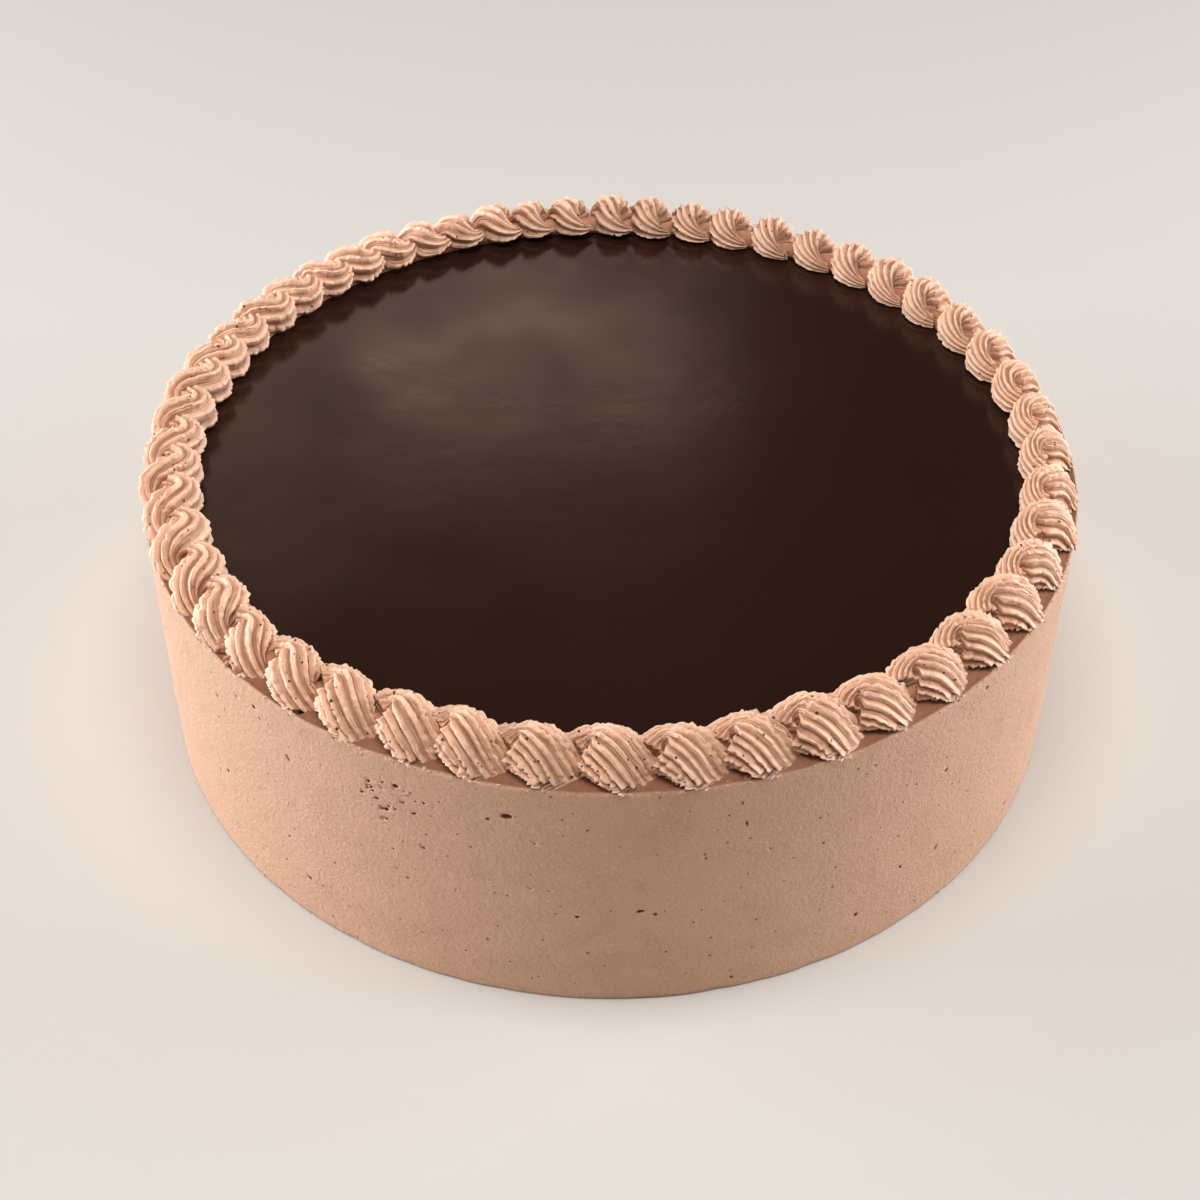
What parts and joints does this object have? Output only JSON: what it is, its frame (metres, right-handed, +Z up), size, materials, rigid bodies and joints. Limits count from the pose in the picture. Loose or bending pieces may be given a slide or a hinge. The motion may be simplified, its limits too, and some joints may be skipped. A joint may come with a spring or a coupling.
{
  "type": "round chocolate cake with a piped border",
  "caption": "Round buttercream-coated chocolate cake with a dark glaze top and a piped shell border around its edge.",
  "frame": {"origin": "centre of the cake's underside, at the bottom of its bounding box", "axes": "+Z up along the axis of the cake; -Y towards the viewer of the picture; +X to the viewer's right"},
  "size_m": [0.2424, 0.2424, 0.0839],
  "materials": {
    "buttercream": "matte milk-chocolate buttercream, smoothed",
    "piped_buttercream": "matte light chocolate buttercream, piped",
    "dark_chocolate_glaze": "satin dark chocolate ganache"
  },
  "bodies": {
    "root": {"buttercream_cake": "buttercream", "chocolate_glaze": "dark_chocolate_glaze", "piped_border": "piped_buttercream"}
  },
  "joints": []
}
